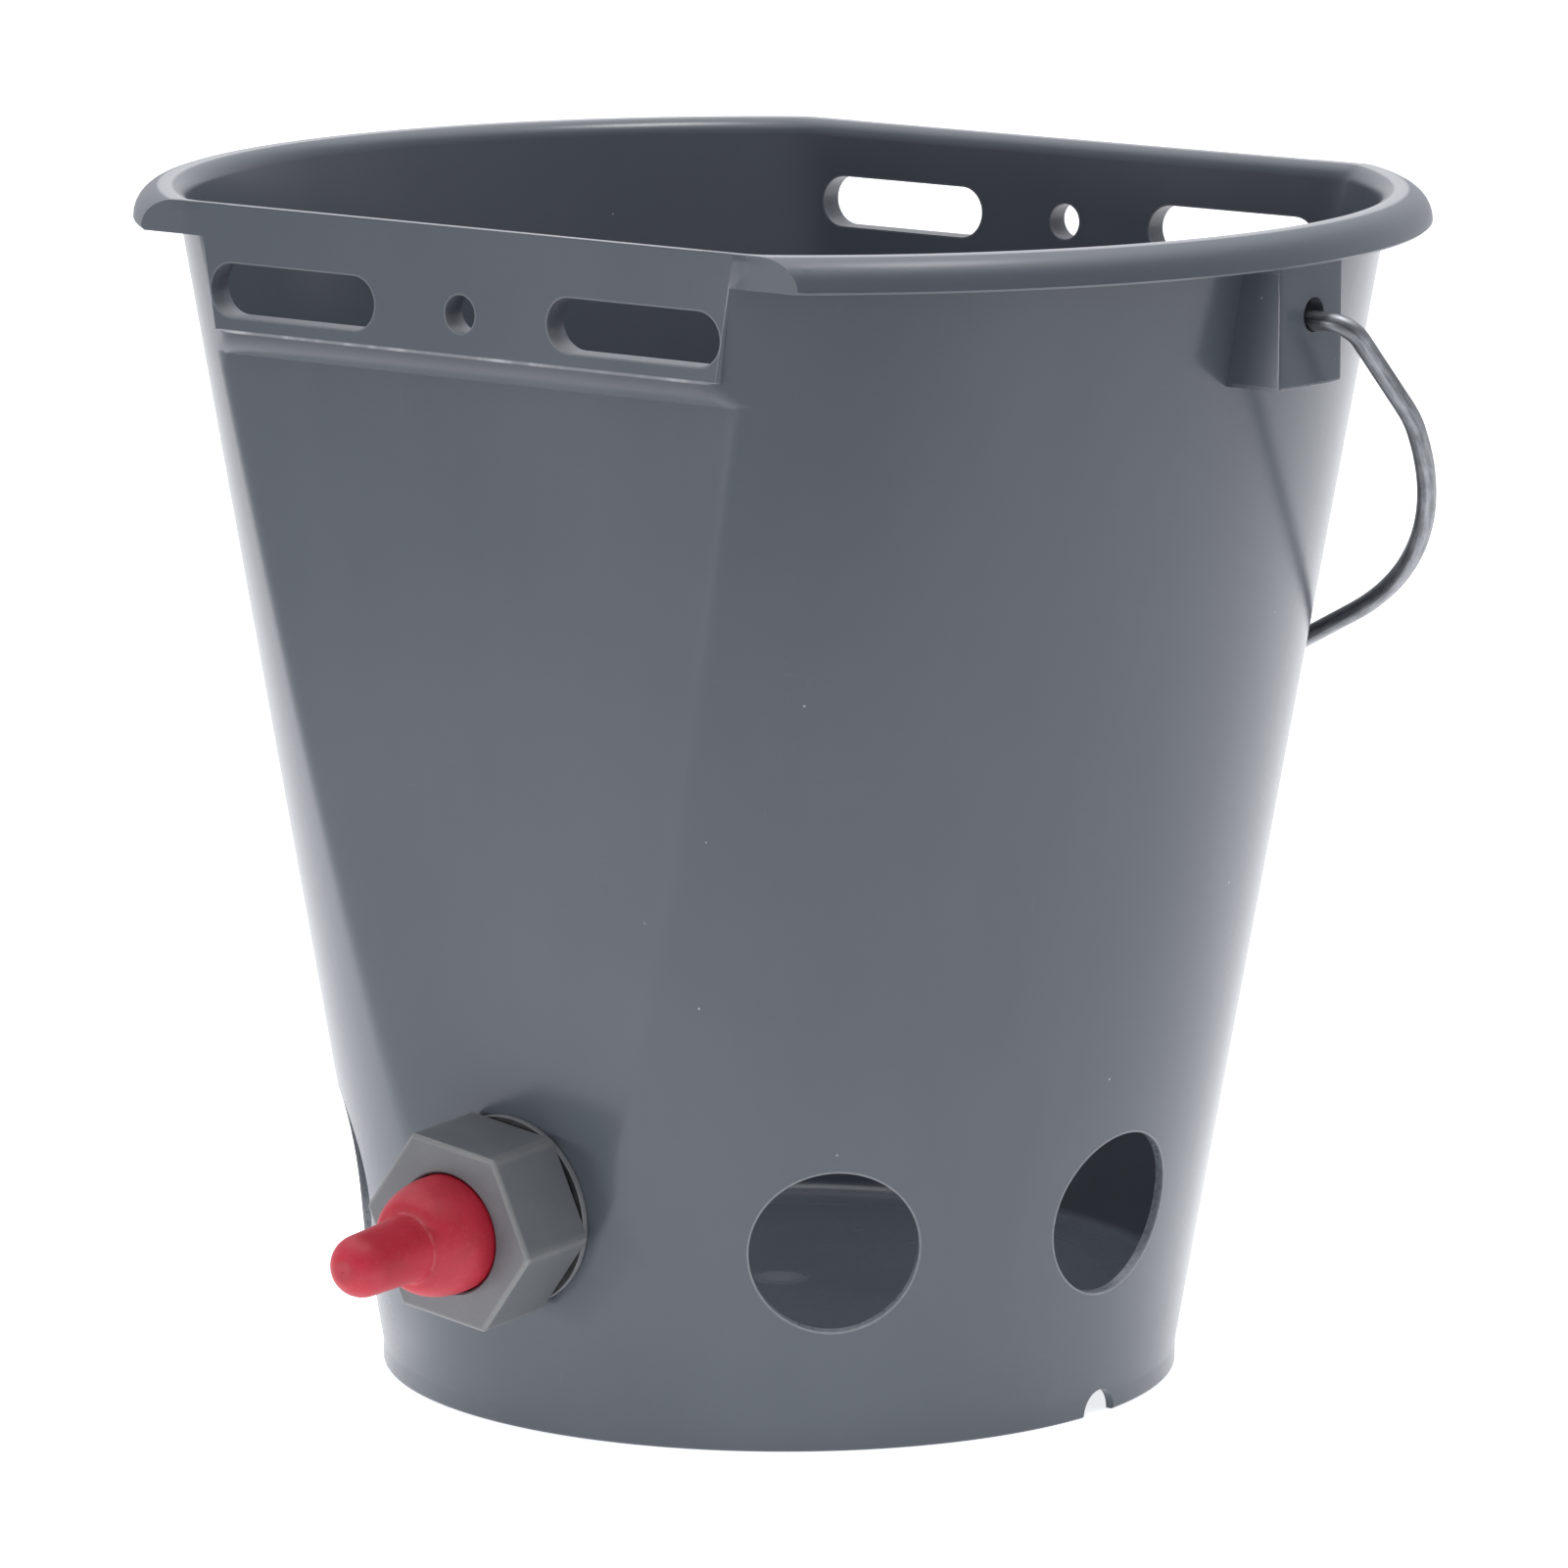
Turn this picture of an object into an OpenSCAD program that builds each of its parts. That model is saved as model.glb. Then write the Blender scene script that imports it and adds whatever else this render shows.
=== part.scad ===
// Lamb feeder: a tapered bucket with two hanging flats, a wire bail and
// five teat holes round its foot, one of them fitted with a rubber teat.
// Millimetres. The origin is the centre of the base on the ground, +Z is up,
// the fitted teat points to -Y and the bail turns about X.

/* [Bucket] */
// Overall height
bucket_h = 250; // [200:1:320]
// Outer radius of the tapered wall, carried down to the ground
wall_base_r = 83.2; // [70:0.1:100]
// Outer radius of the tapered wall at the rim
wall_top_r = 126.1; // [115:0.1:140]
// Wall thickness
wall_t = 2; // [1.6:0.1:3]
// Height of the floor's top face
floor_z = 16.5; // [12:0.5:25]
// Floor thickness
floor_t = 3; // [2:0.1:5]
// Width that the upright base skirt adds to the wall's base radius
skirt_step = 0.8; // [0.5:0.1:3]
// Radius of the half-round vent notch in each side of the skirt
vent_r = 5.3; // [3:0.1:8]
// Radius of the rim's rounded inner edge
rim_roll = 3.5; // [2:0.1:3.6]

/* [Lip] */
// Width of the downturned lip beyond the wall
lip_out = 8.5; // [6:0.1:12]
// Depth of the lip
lip_h = 7; // [6.8:0.1:10]
// Radius of the lip's rolled shoulder
lip_roll = 6.5; // [4:0.1:6.6]
// Lip thickness
lip_t = 2.2; // [1.6:0.1:3]

/* [Flats and slots] */
// How far the band's outer face lies inside the wall's circle at the rim
band_inset = 21.7; // [15:0.1:26]
// Height of the slotted band
band_h = 26; // [22:0.5:32]
// Half length of the band at the rim
band_half_top = 69.5; // [60:0.5:75]
// Half length of the band at its lower edge
band_half_low = 65; // [55:0.5:70]
// Height of the bevel under the band
bevel_h = 5.2; // [2:0.1:8]
// Step from the band's face back to the flat
flat_step = 4.1; // [2:0.1:6]
// Height where the flats run out into the round wall
flat_foot = 20.4; // [12:0.1:24]
// Length of a hanging slot
slot_l = 43.5; // [30:0.5:45]
// Width of a hanging slot
slot_w = 11; // [8:0.5:13]
// Distance of a slot's centre from the middle of the band
slot_x = 44.1; // [38:0.1:45]
// Distance of the slots and the nail hole below the rim
slot_drop = 17.5; // [13:0.5:19]
// Diameter of the nail hole between the slots
nail_d = 7.7; // [5:0.1:10]

/* [Ears] */
// Width of a bail ear
ear_w = 21.5; // [18:0.5:30]
// Height of an ear below the rim
ear_h = 31.5; // [27:0.5:40]
// Set-back of the ear's outer face from the lip's edge
ear_back = 0.8; // [0.5:0.1:3]
// Ear wall thickness
ear_t = 2.75; // [2:0.05:4]
// Diameter of the bail hole
ear_hole_d = 7; // [6:0.1:9]
// Distance of the bail hole below the rim
ear_hole_drop = 17; // [15:0.5:20]

/* [Bail] */
// Wire diameter
wire_d = 4; // [3:0.1:4.5]
// Distance of the bail's leg from the lip's edge
leg_out = 8; // [6.5:0.5:14]
// Length of the straight leg, from the swing axis
leg_l = 27; // [20:0.5:40]
// Bend radius at the ear
elbow_r = 5; // [4:0.5:6]
// Radius of the gentle bend below the leg
knee_r = 32; // [20:1:50]
// Turn of the gentle bend, degrees
knee_deg = 14; // [5:0.5:20]
// Radius of the shoulder
shoulder_r = 121; // [100:1:130]
// Turn of the bail where the shoulder ends, degrees
shoulder_deg = 56; // [50:0.5:60]
// Length of the straight run between shoulder and crown
run_l = 50; // [40:1:70]
// Length of the hooked end inside the ear, from the swing axis
hook_l = 5; // [4.5:0.1:6]

/* [Teat stations] */
// Diameter of a teat hole
hole_d = 34.8; // [30:0.1:38]
// Height of the hole in the front flat
front_hole_z = 47.5; // [44:0.5:70]
// Height of the two open holes next to it
near_hole_z = 43; // [40:0.5:70]
// Angle of the two open holes next to it from the front, degrees
near_hole_turn = 45; // [38:1:50]
// Height of the two farther open holes
far_hole_z = 44.5; // [40:0.5:70]
// Angle of the two farther open holes from the front, degrees
far_hole_turn = 87; // [80:1:95]

/* [Nut, washer and teat] */
// Width across the nut's flats
nut_af = 37.2; // [35:0.1:45]
// Height of the nut
nut_h = 19; // [16:0.5:24]
// Radius of the nut's six upright edges
nut_corner_r = 1.2; // [0.6:0.1:3]
// Chamfer on the nut's front edges
nut_chamfer = 0.9; // [0.4:0.1:2]
// Thickness of the nut's front wall
nut_front_t = 4; // [3:0.1:6]
// Turn of the nut from corner-to-the-side, degrees
nut_turn = -7.5; // [-30:0.5:30]
// Diameter of the seat washer
washer_d = 39.5; // [39:0.5:46]
// Thickness of the seat washer
washer_t = 1.6; // [1:0.1:2.5]
// Outer diameter of the bush's threaded spigot
spigot_d = 30; // [28:0.1:31]
// Diameter of the teat's body where it leaves the nut
teat_d = 24.4; // [20:0.1:26]
// Thickness of the teat's flange
teat_flange_t = 3; // [2:0.1:4]
// Diameter of the nipple at its root
nipple_root_d = 13.8; // [11:0.1:15]
// Diameter of the nipple near its tip
nipple_tip_d = 12.9; // [10:0.1:14]
// Length of the teat's dome in front of the nut
dome_l = 12.6; // [10:0.1:18]
// Length of the teat in front of the nut
teat_l = 32.8; // [26:0.1:45]
// Wall thickness of the teat
teat_t = 2.6; // [2:0.1:3.5]
// Diameter of the milk hole in the tip
milk_hole_d = 2; // [1.5:0.1:3]

/* [Valve] */
// Diameter of the bush's flange inside the bucket
flange_d = 44; // [42:0.5:46]
// Thickness of the bush's flange
flange_t = 3; // [2:0.1:5]
// Outer diameter of the rubber gasket
gasket_d = 39.2; // [38:0.1:40]
// Thickness of the rubber gasket
gasket_t = 2; // [1.5:0.1:3]
// Bore of the bush
bush_bore_d = 16; // [14:0.1:18]
// Diameter of the inlet that the ball closes
inlet_d = 9; // [6:0.1:10]
// Diameter of the valve ball
ball_d = 12; // [10.5:0.1:13]
// Travel of the valve ball
ball_lift = 3; // [1.5:0.1:4]
// Thickness of the ball cage
cage_t = 3; // [2:0.1:4]

/* [Clearances] */
// Between faces that turn or slide on each other
slide_gap = 0.1; // [0.05:0.05:0.3]
// Between round faces of different pieces
round_gap = 0.3; // [0.2:0.05:0.5]
// Between the bail and what it rests on
bail_gap = 0.25; // [0.2:0.05:0.5]

/* [Hidden] */
$fn = 96;
over = 1;

// Tapered wall
wall_slope = (wall_top_r - wall_base_r) / bucket_h;
wall_lean = atan(wall_slope);
wall_t_flat = wall_t / cos(wall_lean);
skirt_r = wall_base_r + skirt_step;
skirt_top = skirt_step / wall_slope;
function wall_r(z) = wall_base_r + wall_slope * z;
function wall_in_r(z) = wall_r(z) - wall_t_flat;

// Rows of the rim's rounded inner edge: height, and how far it has turned out
rim_rows = [for (turn = [0:15:90])
  [bucket_h - rim_roll * (1 - sin(turn)), rim_roll * (1 - cos(turn))]];

// Lip and flats
lip_r = wall_top_r + lip_out;
lip_low = bucket_h - lip_h;
band_y = wall_top_r - band_inset;
band_low = bucket_h - band_h;
flat_top = band_low - bevel_h;
flat_slope = (band_y - flat_step - wall_r(flat_foot)) / (flat_top - flat_foot);
flat_lean = atan(flat_slope);
flat_t = wall_t / cos(flat_lean);
slot_z = bucket_h - slot_drop;
function flat_y(z) = band_y - flat_step - flat_slope * (flat_top - z);
function flat_in_y(z) = flat_y(z) - flat_t;

// Ears and the bail's swing axis
ear_r = lip_r - ear_back;
ear_low = bucket_h - ear_h;
ear_hole_z = bucket_h - ear_hole_drop;
swing_z = ear_hole_z - (ear_hole_d - wire_d) / 2 + bail_gap;

// Bail path, as distance x from the middle and drop d from the swing axis
leg_x = lip_r + leg_out;
knee_x = leg_x - knee_r * (1 - cos(knee_deg));
knee_d = leg_l + knee_r * sin(knee_deg);
shoulder_centre = [knee_x - shoulder_r * cos(knee_deg), knee_d - shoulder_r * sin(knee_deg)];
run_start = shoulder_centre + shoulder_r * [cos(shoulder_deg), sin(shoulder_deg)];
run_end = run_start + run_l * [-sin(shoulder_deg), cos(shoulder_deg)];
crown_r = run_end.x / cos(shoulder_deg);
crown_centre = [0, run_end.y - crown_r * sin(shoulder_deg)];
hook_x = ear_r - ear_t - (ear_r - ear_t - wall_r(swing_z)) / 2;
hook_r = 3;
wire_sides = 16;

// Points along an arc of the bail, each with its place and heading
function arc_points(centre, radius, from, to, steps, first = 0) = [
  for (i = [first:steps])
    let (turn = from + (to - from) * i / steps)
      [centre + radius * [cos(turn), sin(turn)], turn + (to > from ? 90 : -90)]];

// Half of the bail: hook, axle, elbow, leg, knee, shoulder, run and half the crown
half_path = concat(
  [[[hook_x, -hook_l], 90]],
  arc_points([hook_x + hook_r, -hook_r], hook_r, 180, 90, 5),
  arc_points([leg_x - elbow_r, elbow_r], elbow_r, -90, 0, 6),
  arc_points([leg_x - knee_r, leg_l], knee_r, 0, knee_deg, 2),
  arc_points(shoulder_centre, shoulder_r, knee_deg, shoulder_deg, 12, 1),
  [for (share = [0.2:0.2:0.8]) [run_start + share * (run_end - run_start), shoulder_deg + 90]],
  arc_points(crown_centre, crown_r, shoulder_deg, 90, 10));
last_step = len(half_path) - 1;
bail_path = concat(half_path, [for (i = [last_step - 1:-1:0])
  [[-half_path[i][0].x, half_path[i][0].y], -half_path[i][1]]]);

// Resting angle of the bail from straight down: each point of the wire needs
// room from the flat or from the round wall, and the greatest need decides
wire_room = wire_d / 2 + bail_gap;
flat_reach = flat_y(swing_z) * cos(flat_lean) + wire_room;
wall_reach = wall_r(swing_z) + wire_room / cos(wall_lean);
function flat_angle(d) = asin(min(1, flat_reach / d)) - flat_lean;
function wall_angle(x, d) =
  let (room = (1 + wall_slope * wall_slope) * (x * x + d * d) - wall_reach * wall_reach)
    room < 0 ? 180 :
      acos(min(1, (wall_reach * wall_slope + sqrt(room)) / d / (1 + wall_slope * wall_slope)));
bail_rest = max([for (step = half_path) let (x = step[0].x, d = step[0].y)
  d > leg_l ? min(flat_angle(d), wall_angle(x, d)) : 0]);

// Teat stations: places along the front station's axis, from the wall outwards
nut_back = washer_t + round_gap;
nut_face = nut_back + nut_h;
nut_step = nut_face - nut_front_t;
teat_flange_face = nut_step - slide_gap;
teat_flange_back = teat_flange_face - teat_flange_t;
spigot_end = teat_flange_back - slide_gap;
flange_face = -wall_t - gasket_t;
flange_back = flange_face - flange_t;
nut_bore_d = spigot_d + 2 * round_gap;
nut_open_d = teat_d + 2 * round_gap;
collar_d = hole_d - 2 * round_gap;
collar_end = -round_gap;
teat_flange_d = nut_bore_d - 2 * round_gap;

// The ball sits on the inlet's rim and the cage stands past its travel
ball_r = ball_d / 2;
ball_seat = flange_face + sqrt(ball_r * ball_r - inlet_d * inlet_d / 4) + slide_gap;
cage_back = ball_seat + ball_r + ball_lift + round_gap;
cage_d = bush_bore_d - 2 * slide_gap;
cage_ring_t = 1.6;
cage_arm_w = 2.4;
cage_hub_d = 5;

// Places a child on the front station, with its axis outwards
module at_front_station() {
  translate([0, -flat_y(front_hole_z), front_hole_z])
    rotate([90 + flat_lean, 0, 0])
      children();
}

// Places a child on the round wall at an angle from the front, axis outwards
module at_wall(angle, z) {
  rotate([0, 0, angle])
    translate([0, -wall_r(z), z])
      rotate([90 + wall_lean, 0, 0])
        children();
}

// Solid of revolution inside the wall's outer face
module wall_outside() {
  rotate_extrude()
    polygon([[0, 0], [skirt_r, 0], [skirt_r, skirt_top], [wall_top_r, bucket_h], [0, bucket_h]]);
}

// Everything beyond the outer face of the front flat and its band
module beyond_flat() {
  far = 2 * lip_r;
  translate([lip_r + over, 0, 0])
    rotate([90, 0, -90])
      linear_extrude(2 * (lip_r + over))
        polygon([[flat_y(-over), -over], [flat_y(flat_top), flat_top], [band_y, band_low],
                 [band_y, bucket_h + over], [far, bucket_h + over], [far, -over]]);
}

// The hollow of the bucket, between the inner faces of the flats
module hollow() {
  high = bucket_h + over;
  round_side = concat([[wall_in_r(floor_z), floor_z]],
    [for (row = rim_rows) [wall_in_r(row.x) + row.y, row.x]],
    [[wall_in_r(bucket_h) + rim_roll, high]]);
  flat_side = concat([[flat_in_y(0), 0]],
    [for (row = rim_rows) [flat_in_y(row.x) + row.y, row.x]],
    [[flat_in_y(bucket_h) + rim_roll, high]]);
  last = len(flat_side) - 1;
  intersection() {
    rotate_extrude()
      polygon(concat([[0, floor_z]], round_side, [[0, high]]));
    translate([lip_r, 0, 0])
      rotate([90, 0, -90])
        linear_extrude(2 * lip_r)
          polygon(concat(flat_side, [for (i = [last:-1:0]) [-flat_side[i].x, flat_side[i].y]]));
  }
}

// Outline of the lip from the wall outwards, with its shoulder rolled over
module lip_outline(edge_r, roll, high, low) {
  from = wall_in_r(low) - over;
  difference() {
    translate([from, low])
      square([edge_r - from, high - low]);
    translate([edge_r - roll, high - roll])
      difference() {
        square(roll + over);
        circle(roll);
      }
  }
}

// Lip section: hollow underneath, between the skirt and the wall
module lip_section() {
  difference() {
    lip_outline(lip_r, lip_roll, bucket_h, lip_low - over);
    lip_outline(lip_r - lip_t, lip_roll - lip_t, bucket_h - lip_t, lip_low - 2 * over);
  }
}

// The lip round the two curved stretches, closed by a web at each flat
module lip() {
  intersection() {
    rotate_extrude()
      lip_section();
    translate([-lip_r, -band_y, lip_low])
      cube([2 * lip_r, 2 * band_y, lip_h]);
  }
  intersection() {
    rotate_extrude()
      lip_outline(lip_r, lip_roll, bucket_h, lip_low - over);
    for (side = [0, 180])
      rotate([0, 0, side])
        translate([-lip_r, -band_y, lip_low])
          cube([2 * lip_r, lip_t, lip_h]);
  }
}

// The slotted band: its ends stand a little proud of the round wall
module band() {
  translate([0, -band_y, 0])
    rotate([90, 0, 180])
      linear_extrude(band_y - flat_in_y(flat_top))
        polygon([[-band_half_low, band_low], [-band_half_top, bucket_h],
                 [band_half_top, bucket_h], [band_half_low, band_low]]);
}

// Two slots and a nail hole through the front band
module hanging_holes() {
  translate([0, 0, slot_z])
    rotate([90, 0, 0])
      linear_extrude(2 * lip_r) {
        circle(d = nail_d);
        for (side = [-1, 1])
          translate([side * slot_x, 0]) {
            square([slot_l - slot_w, slot_w], center = true);
            for (end = [-1, 1])
              translate([end * (slot_l - slot_w) / 2, 0])
                circle(d = slot_w);
          }
      }
}

// A hollow ear on the +X side, open below; its top ends inside the lip's shell
module ear() {
  difference() {
    intersection() {
      rotate_extrude()
        lip_outline(ear_r, lip_roll - ear_back, bucket_h - ear_back, ear_low - over);
      translate([0, -ear_w / 2, ear_low])
        cube([lip_r, ear_w, ear_h]);
    }
    difference() {
      intersection() {
        cylinder(r = ear_r - ear_t, h = bucket_h - lip_t);
        translate([0, -ear_w / 2 + ear_t, 0])
          cube([lip_r, ear_w - 2 * ear_t, lip_low]);
      }
      wall_outside();
    }
    translate([wall_r(ear_hole_z), 0, ear_hole_z])
      rotate([0, 90, 0])
        cylinder(d = ear_hole_d, h = lip_r);
  }
}

module bucket() {
  color([0.40, 0.43, 0.46])
  difference() {
    union() {
      difference() {
        wall_outside();
        for (side = [0, 180])
          rotate([0, 0, side])
            beyond_flat();
      }
      lip();
      for (side = [0, 180])
        rotate([0, 0, side]) {
          band();
          ear();
        }
    }
    hollow();
    translate([0, 0, -over])
      cylinder(r = skirt_r - wall_t, h = over + floor_z - floor_t);
    for (side = [0, 180])
      rotate([0, 0, side]) {
        hanging_holes();
        rotate([0, 90, 0])
          cylinder(r = vent_r, h = lip_r);
      }
    at_front_station()
      translate([0, 0, -2 * hole_d])
        cylinder(d = hole_d, h = 3 * hole_d);
    for (hole = [[near_hole_turn, near_hole_z], [far_hole_turn, far_hole_z]], side = [-1, 1])
      at_wall(side * hole.x, hole.y)
        translate([0, 0, -hole_d / 2])
          cylinder(d = hole_d, h = hole_d);
  }
}

// The wire: one closed tube swept along the path
module wire(path, diameter, sides) {
  rings = len(path);
  points = [for (step = path, side = [0:sides - 1])
    let (across = diameter / 2 * cos(360 * side / sides), up = diameter / 2 * sin(360 * side / sides))
      [step[0].x - across * sin(step[1]), step[0].y + across * cos(step[1]), up]];
  skin = [for (ring = [0:rings - 2], side = [0:sides - 1])
    let (a = ring * sides + side, b = ring * sides + (side + 1) % sides)
      each [[a, b, a + sides], [b, b + sides, a + sides]]];
  ends = [[for (side = [sides - 1:-1:0]) side], [for (side = [0:sides - 1]) (rings - 1) * sides + side]];
  polyhedron(points, concat(skin, ends));
}

module bail() {
  color([0.62, 0.64, 0.66])
  translate([0, 0, swing_z])
    rotate([bail_rest - 90, 0, 0])
      wire(bail_path, wire_d, wire_sides);
}

module seat_washer() {
  color([0.36, 0.38, 0.40])
  at_front_station()
    difference() {
      cylinder(d = washer_d, h = washer_t);
      translate([0, 0, -over])
        cylinder(d = nut_bore_d, h = washer_t + 2 * over);
    }
}

// Hexagon with rounded corners, a corner on the x axis
module hexagon(flats, corner_r) {
  inner = (flats / 2 - corner_r) / cos(30);
  polygon([for (corner = [0:5], part = [-2:2])
    let (middle = 60 * corner, turn = middle + 15 * part)
      inner * [cos(middle), sin(middle)] + corner_r * [cos(turn), sin(turn)]]);
}

module union_nut() {
  color([0.36, 0.38, 0.40])
  at_front_station()
    difference() {
      translate([0, 0, nut_back])
        rotate([0, 0, nut_turn])
          linear_extrude(nut_h)
            hexagon(nut_af, nut_corner_r);
      for (side = [0:5])
        rotate([0, 0, nut_turn + 30 + 60 * side])
          translate([nut_af / 2 - nut_chamfer, 0, nut_face])
            rotate([0, 45, 0])
              translate([0, -nut_af, 0])
                cube([nut_af, 2 * nut_af, nut_af]);
      translate([0, 0, nut_back - over])
        cylinder(d = nut_bore_d, h = nut_step - nut_back + over);
      cylinder(d = nut_open_d, h = nut_face + over);
    }
}

// Dome outline: radius at a share of the dome's length, convex to the nipple,
// after a first straight share
dome_straight = 0.12;
function dome_r(share) =
  let (bend = max(0, share - dome_straight) / (1 - dome_straight))
    nipple_root_d / 2 + (teat_d - nipple_root_d) / 2 * sqrt(1 - bend * bend);

// Half section of the teat: flange, waist in the nut, dome and nipple
module teat_section() {
  tip_r = nipple_tip_d / 2;
  dome_end = nut_face + dome_l;
  tip_centre = nut_face + teat_l - tip_r;
  bore_r = tip_r - teat_t;
  dome_steps = 12;
  polygon(concat(
    [[teat_d / 2 - teat_t, teat_flange_back], [teat_flange_d / 2, teat_flange_back],
     [teat_flange_d / 2, teat_flange_face], [teat_d / 2, teat_flange_face]],
    [for (i = [0:dome_steps]) [dome_r(i / dome_steps), nut_face + dome_l * i / dome_steps]],
    [for (turn = [0:10:80]) [tip_r * cos(turn), tip_centre + tip_r * sin(turn)]],
    [[milk_hole_d / 2, tip_centre + tip_r * cos(asin(milk_hole_d / nipple_tip_d))],
     [milk_hole_d / 2, tip_centre + bore_r * cos(asin(milk_hole_d / 2 / bore_r))]],
    [for (turn = [60:-20:0]) [bore_r * cos(turn), tip_centre + bore_r * sin(turn)]],
    [[nipple_root_d / 2 - teat_t, dome_end - teat_t]],
    [for (i = [dome_steps - 3:-1:0]) [dome_r(i / dome_steps) - teat_t, nut_face + dome_l * i / dome_steps - teat_t]]));
}

module teat() {
  color([0.68, 0.16, 0.24])
  at_front_station()
    rotate_extrude()
      teat_section();
}

module valve_body() {
  color([0.36, 0.38, 0.40])
  at_front_station()
    difference() {
      union() {
        translate([0, 0, flange_back])
          cylinder(d = flange_d, h = flange_t);
        translate([0, 0, flange_face])
          cylinder(d = collar_d, h = collar_end - flange_face);
        translate([0, 0, flange_face])
          cylinder(d = spigot_d, h = spigot_end - flange_face);
      }
      translate([0, 0, flange_back - over])
        cylinder(d = inlet_d, h = flange_t + 2 * over);
      translate([0, 0, flange_face])
        cylinder(d = bush_bore_d, h = spigot_end - flange_face + over);
    }
}

module flange_gasket() {
  color([0.12, 0.12, 0.12])
  at_front_station()
    translate([0, 0, flange_face])
      difference() {
        cylinder(d = gasket_d, h = gasket_t);
        translate([0, 0, -over])
          cylinder(d = hole_d, h = gasket_t + 2 * over);
      }
}

module valve_ball() {
  color([0.85, 0.85, 0.82])
  at_front_station()
    translate([0, 0, ball_seat])
      sphere(d = ball_d);
}

module ball_cage() {
  color([0.36, 0.38, 0.40])
  at_front_station()
    translate([0, 0, cage_back])
      linear_extrude(cage_t) {
        difference() {
          circle(d = cage_d);
          circle(d = cage_d - 2 * cage_ring_t);
        }
        circle(d = cage_hub_d);
        for (turn = [0:120:240])
          rotate([0, 0, turn])
            translate([0, -cage_arm_w / 2])
              square([(cage_d - cage_ring_t) / 2, cage_arm_w]);
      }
}

bucket();
bail();
seat_washer();
union_nut();
teat();
valve_body();
flange_gasket();
valve_ball();
ball_cage();
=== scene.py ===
import math

import bmesh
import bpy
from mathutils import Matrix, Vector


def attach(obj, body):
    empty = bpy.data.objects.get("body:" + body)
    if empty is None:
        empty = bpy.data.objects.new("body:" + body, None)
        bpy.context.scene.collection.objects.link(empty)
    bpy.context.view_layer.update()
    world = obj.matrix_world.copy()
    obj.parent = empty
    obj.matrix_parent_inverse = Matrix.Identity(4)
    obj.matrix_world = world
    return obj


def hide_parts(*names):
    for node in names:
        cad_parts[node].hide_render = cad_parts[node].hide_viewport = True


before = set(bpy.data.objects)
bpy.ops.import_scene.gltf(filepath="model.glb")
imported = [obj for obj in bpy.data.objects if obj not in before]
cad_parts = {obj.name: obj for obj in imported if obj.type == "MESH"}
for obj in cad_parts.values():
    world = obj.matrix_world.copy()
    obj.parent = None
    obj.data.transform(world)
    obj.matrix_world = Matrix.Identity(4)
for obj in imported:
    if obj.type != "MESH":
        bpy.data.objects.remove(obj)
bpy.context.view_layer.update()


# The bucket is one tapered shell, injection-moulded in grey plastic. Two opposite sides are flat
# and end in a slotted band, so that it hangs against a rail. Lip, ears and skirt are moulded on,
# and the teat holes are sawn through the wall afterwards.

mm = 0.001
quarter = math.pi / 2
bucket_h = 250 * mm
wall_base_r = 83.2 * mm
wall_top_r = 126.1 * mm
wall_t = 2 * mm
wall_slope = (wall_top_r - wall_base_r) / bucket_h
wall_lean = math.atan(wall_slope)
edge_round = 0.7 * mm
corner_r = 2 * mm
floor_z = 16.5 * mm
floor_t = 3 * mm
skirt_r = wall_base_r + 0.8 * mm
skirt_top = (skirt_r - wall_base_r) / wall_slope
vent_r = 5.3 * mm
lip_r = wall_top_r + 8.5 * mm
lip_low = bucket_h - 7 * mm
lip_roll = 6.5 * mm
lip_t = 2.2 * mm
lip_edge_r = 0.6 * mm
rim_r = 3.5 * mm
band_y = wall_top_r - 21.7 * mm
band_low = bucket_h - 26 * mm
band_half_top = 69.5 * mm
band_half_low = 65 * mm
band_depth = 6 * mm
band_proud = 0.06 * mm
band_round = 0.45 * mm
bevel_bulge = 0.6
flat_top = band_low - 5.2 * mm
flat_step = 4.1 * mm
flat_y = band_y - flat_step
flat_foot = 20.4 * mm
flat_slope = (flat_y - wall_base_r - wall_slope * flat_foot) / (flat_top - flat_foot)
flat_lean = math.atan(flat_slope)
flat_base_y = flat_y - flat_slope * flat_top
slot_half = 43.5 / 2 * mm
slot_r = 5.5 * mm
slot_x = 44.1 * mm
slot_z = bucket_h - 17.5 * mm
nail_r = 3.85 * mm
ear_half = 21.5 / 2 * mm
ear_low = bucket_h - 31.5 * mm
ear_top = bucket_h - 3.8 * mm
ear_r = lip_r - 0.8 * mm
ear_t = 2.75 * mm
ear_root = wall_top_r - 14 * mm
ear_hole_r = 3.5 * mm
ear_hole_z = bucket_h - 17 * mm
hole_r = 17.4 * mm
near_hole = (math.radians(45), 43 * mm)
far_hole = (math.radians(87), 44.5 * mm)
front_hole_z = 47.5 * mm


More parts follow.
